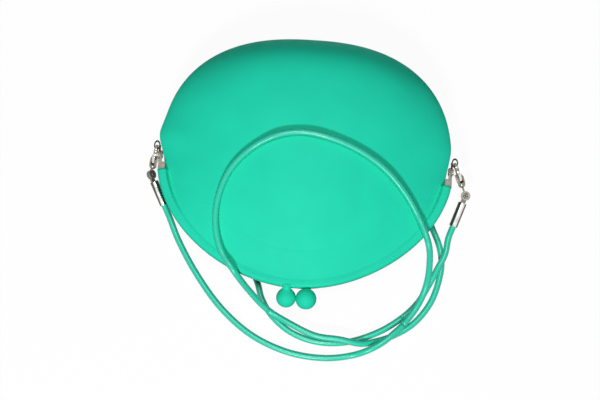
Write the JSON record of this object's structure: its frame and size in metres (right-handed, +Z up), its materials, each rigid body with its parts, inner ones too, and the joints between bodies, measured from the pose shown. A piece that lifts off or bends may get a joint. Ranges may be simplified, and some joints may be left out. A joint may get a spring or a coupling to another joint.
{
  "type": "kiss-lock purse",
  "caption": "Moulded silicone kiss-lock purse with a hinged frame mouth, ball clasp, and a long round cord strap held by lobster hooks at the hinges.",
  "frame": {"origin": "centre of the flat patch under the bag, straight below the middle of the hinge axis", "axes": "+X from the left hinge to the right hinge, +Y from the mouth to the far end, +Z up from the table"},
  "size_m": [0.204, 0.2, 0.0557],
  "materials": {
    "silicone": "soft satin silicone",
    "plated_metal": "bright nickel-like plating",
    "cord": "smooth silicone cord"
  },
  "bodies": {
    "bag": {"back_shell": "silicone", "back_frame": "plated_metal", "left_hinge_rivet": "plated_metal", "right_hinge_rivet": "plated_metal", "back_ball": "silicone", "left_hook": "plated_metal", "left_gate_pin": "plated_metal", "left_gate_spring": "plated_metal", "left_swivel_rivet": "plated_metal", "right_hook": "plated_metal", "right_gate_pin": "plated_metal", "right_gate_spring": "plated_metal", "right_swivel_rivet": "plated_metal", "strap_left_run": "cord", "strap_loop": "cord", "strap_under_run": "cord", "strap_right_run": "cord"},
    "front_jaw": {"front_wall": "silicone", "front_frame": "plated_metal", "front_ball": "silicone"},
    "left_gate": {"left_gate": "plated_metal"},
    "right_gate": {"right_gate": "plated_metal"},
    "left_strap_end": {"left_ferrule": "plated_metal"},
    "right_strap_end": {"right_ferrule": "plated_metal"}
  },
  "joints": [
    {"name": "jaw_hinge", "type": "hinge", "parent": "bag", "child": "front_jaw", "pos_m": [0, 0, 0.024], "axis": [-1, 0, 0], "range_deg": [0, 60], "deforming": ["strap_loop"]},
    {"name": "left_gate_hinge", "type": "hinge", "parent": "bag", "child": "left_gate", "pos_m": [-0.0949, -0.00334, 0.01927], "axis": [-0.9743, 0.2253, 0], "range_deg": [0, 25], "stiffness_Nm_per_rad": 0.02, "springref_deg": -11.46},
    {"name": "right_gate_hinge", "type": "hinge", "parent": "bag", "child": "right_gate", "pos_m": [0.0971, -0.00326, 0.0206], "axis": [-0.8971, -0.4418, 0], "range_deg": [0, 25], "stiffness_Nm_per_rad": 0.02, "springref_deg": -11.46},
    {"name": "left_swivel", "type": "hinge", "parent": "bag", "child": "left_strap_end", "pos_m": [-0.0966, -0.0107, 0.0115], "axis": [0.762, 0.1935, 0.618], "range_deg": [-30, 5], "deforming": ["strap_left_run"]},
    {"name": "right_swivel", "type": "hinge", "parent": "bag", "child": "right_strap_end", "pos_m": [0.1016, -0.0124, 0.0135], "axis": [-0.059, -0.1734, 0.9831], "range_deg": [-10, 30], "deforming": ["strap_right_run"]}
  ]
}
